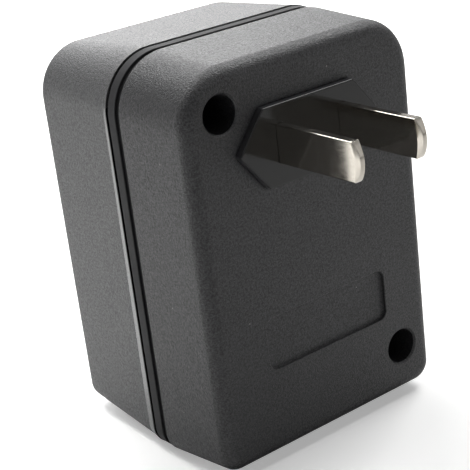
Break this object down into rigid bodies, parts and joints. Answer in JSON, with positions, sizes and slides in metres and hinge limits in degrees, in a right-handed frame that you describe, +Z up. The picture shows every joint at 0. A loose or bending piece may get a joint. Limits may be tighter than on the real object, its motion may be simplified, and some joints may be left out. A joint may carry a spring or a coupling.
{
  "type": "plug-in voltage converter",
  "caption": "Plug-in voltage converter: drafted two-shell housing, flat plug blades on the rear face, socket for round pins in front, laminated transformer inside.",
  "frame": {"origin": "on the plug face, the flat front of the six-sided plug block, midway between the two blades", "axes": "+Y out of the plug face along the blades, +Z up, +X to the left of someone who looks at the blades; the socket faces -Y"},
  "size_m": [0.048, 0.0621, 0.0684],
  "materials": {
    "housing_abs": "charcoal ABS with a fine spark-eroded grain",
    "plug_block_gloss": "polished black heat-resistant plastic",
    "socket_black": "satin black plastic",
    "nickel_plate": "nickel-plated brass, fine drawing lines",
    "black_steel": "blackened steel",
    "zinc_steel": "bright zinc plate",
    "fibre_board": "brown pressed fibre board",
    "contact_brass": "rolled spring brass",
    "core_steel": "varnished silicon steel laminations",
    "bobbin_nylon": "natural glass-filled nylon",
    "tinned_wire": "tin plate",
    "enamelled_copper": "enamelled copper wire",
    "polyester_tape": "yellow polyester tape",
    "glass_sleeve": "woven glass sleeving",
    "lead_black": "black PVC insulation",
    "lead_red": "red PVC insulation",
    "lead_white": "white PVC insulation",
    "lead_yellow": "yellow PVC insulation"
  },
  "bodies": {
    "root": {"front_shell": "housing_abs", "rear_shell": "housing_abs", "case_screws": "black_steel", "plug_block": "plug_block_gloss", "blade_left": "nickel_plate", "blade_right": "nickel_plate", "plug_plate": "fibre_board", "plug_plate_screws": "zinc_steel", "socket_face": "socket_black", "socket_screws": "zinc_steel", "contact_left": "contact_brass", "contact_right": "contact_brass", "contact_plate": "fibre_board", "contact_plate_screw": "zinc_steel", "e_laminations": "core_steel", "i_laminations": "core_steel", "bobbin": "bobbin_nylon", "terminal_pins": "tinned_wire", "primary_winding": "enamelled_copper", "secondary_winding": "enamelled_copper", "primary_tape": "polyester_tape", "secondary_tape": "polyester_tape", "thermal_fuse": "tinned_wire", "fuse_sleeve": "glass_sleeve", "live_lead": "lead_black", "fused_lead": "lead_red", "neutral_lead": "lead_white", "output_lead_left": "lead_yellow", "output_lead_right": "lead_yellow"}
  },
  "joints": []
}
